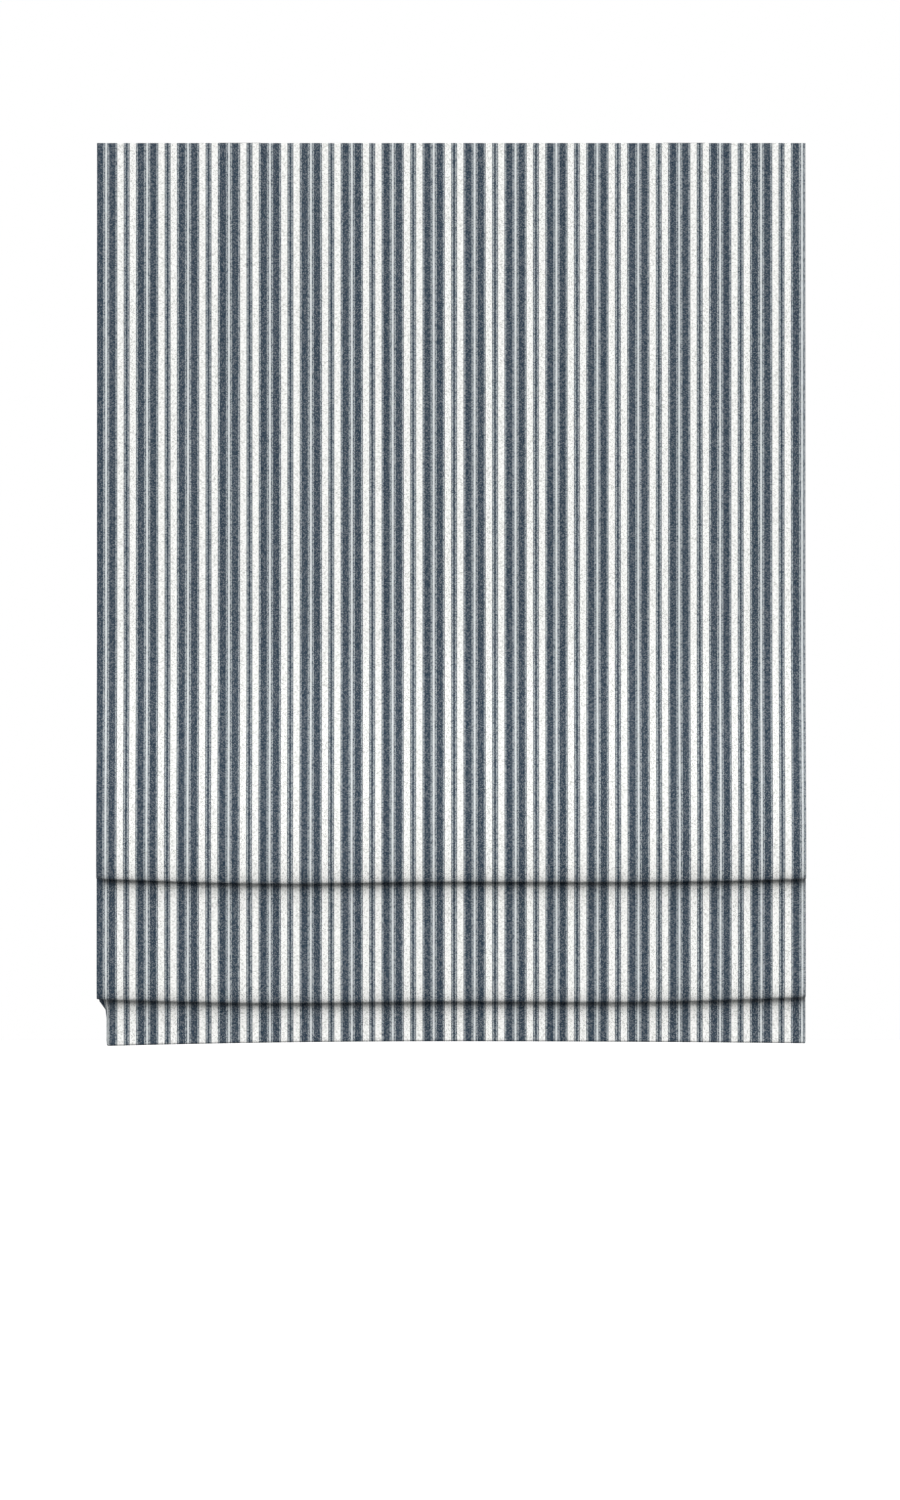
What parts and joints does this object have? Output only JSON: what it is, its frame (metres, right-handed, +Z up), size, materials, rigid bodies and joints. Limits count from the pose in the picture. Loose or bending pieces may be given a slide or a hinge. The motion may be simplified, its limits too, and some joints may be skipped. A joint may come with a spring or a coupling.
{
  "type": "roman blind",
  "caption": "Lined, striped flat-fold roman blind, hung partly raised, with a cordless spring lift in its open-topped head rail and swivel-latch brackets for fixing under a window head.",
  "frame": {"origin": "centre of the four bracket screw holes, on the plane of the window head that the brackets are fixed under", "axes": "+X across the window to the right as seen from the room, +Y into the window away from the room, +Z up"},
  "size_m": [0.914, 0.0857, 1.16],
  "materials": {
    "striped_cloth": "plain-woven ticking, slate blue and white",
    "lining_cloth": "closely woven cotton lining",
    "rib_tape": "woven tape",
    "hook_and_loop": "hook and loop pile",
    "lift_cord": "braided",
    "rail_paint": "white powder coat",
    "moulded_white": "satin moulding",
    "moulded_grey": "satin moulding",
    "zinc_steel": "zinc plated",
    "shaft_metal": "drawn, bare",
    "spring_steel": "blued ribbon",
    "rib_rod": "glass-fibre rod",
    "clear_ring": "moulded ring",
    "bar_metal": "mill finish"
  },
  "bodies": {
    "head": {"headrail": "rail_paint", "end_cap_left": "moulded_white", "end_cap_right": "moulded_white", "bracket_left": "zinc_steel", "bracket_right": "zinc_steel", "latch_rivets": "zinc_steel", "spool_cradle_left": "moulded_white", "spool_cradle_center": "moulded_white", "spool_cradle_right": "moulded_white", "motor_housing_lower": "moulded_white", "motor_housing_upper": "moulded_white", "power_spring": "spring_steel", "hook_tape": "hook_and_loop", "loop_tape": "hook_and_loop", "face_fabric": "striped_cloth", "lining": "lining_cloth", "lift_cord_left": "lift_cord", "lift_cord_center": "lift_cord", "lift_cord_right": "lift_cord"},
    "shaft": {"lift_shaft": "shaft_metal", "cord_spool_left": "moulded_grey", "cord_spool_center": "moulded_grey", "cord_spool_right": "moulded_grey", "cord_turns": "lift_cord", "output_drum": "moulded_grey"},
    "storage": {"storage_drum": "moulded_grey"},
    "left_latch": {"latch_left": "zinc_steel"},
    "right_latch": {"latch_right": "zinc_steel"},
    "upper_rib": {"upper_rib_rod": "rib_rod", "upper_rib_tape": "rib_tape", "upper_rib_rings": "clear_ring"},
    "middle_rib": {"middle_rib_rod": "rib_rod", "middle_rib_tape": "rib_tape", "middle_rib_rings": "clear_ring"},
    "lift": {"lower_rib_rod": "rib_rod", "lower_rib_tape": "rib_tape", "lower_rib_rings": "clear_ring", "bottom_rib_rod": "rib_rod", "bottom_rib_tape": "rib_tape", "bottom_rib_rings": "clear_ring", "cord_adjusters": "moulded_white", "bottom_bar": "bar_metal"}
  },
  "joints": [
    {"name": "lift_slide", "type": "slide", "parent": "head", "child": "lift", "axis": [0, 0, 1], "range_m": [-0.378, 0.81], "deforming": ["face_fabric", "lining", "lift_cord_left", "lift_cord_center", "lift_cord_right"]},
    {"name": "upper_rib_slide", "type": "slide", "parent": "head", "child": "upper_rib", "axis": [0, 0, 1], "range_m": [-0.1172, 0.2512]},
    {"name": "middle_rib_slide", "type": "slide", "parent": "head", "child": "middle_rib", "axis": [0, 0, 1], "range_m": [-0.2476, 0.5306]},
    {"name": "shaft_turn", "type": "hinge", "parent": "head", "child": "shaft", "pos_m": [0, -0.008, -0.0228], "axis": [-1, 0, 0], "range_deg": [-2407, 5157]},
    {"name": "storage_turn", "type": "hinge", "parent": "head", "child": "storage", "pos_m": [-0.15, 0.00987, -0.0228], "axis": [-1, 0, 0], "range_deg": [-5157, 2407]},
    {"name": "left_latch_swing", "type": "hinge", "parent": "head", "child": "left_latch", "pos_m": [-0.261, 0, -0.003], "axis": [0, 0, -1], "range_deg": [0, 90]},
    {"name": "right_latch_swing", "type": "hinge", "parent": "head", "child": "right_latch", "pos_m": [0.313, 0, -0.003], "axis": [0, 0, -1], "range_deg": [0, 90]}
  ],
  "couplings": [
    {"joint": "upper_rib_slide", "follows": "lift_slide", "ratio": 0.31},
    {"joint": "middle_rib_slide", "follows": "lift_slide", "ratio": 0.655},
    {"joint": "shaft_turn", "follows": "lift_slide", "rad_per_m": 111.11},
    {"joint": "storage_turn", "follows": "lift_slide", "rad_per_m": -111.11}
  ]
}
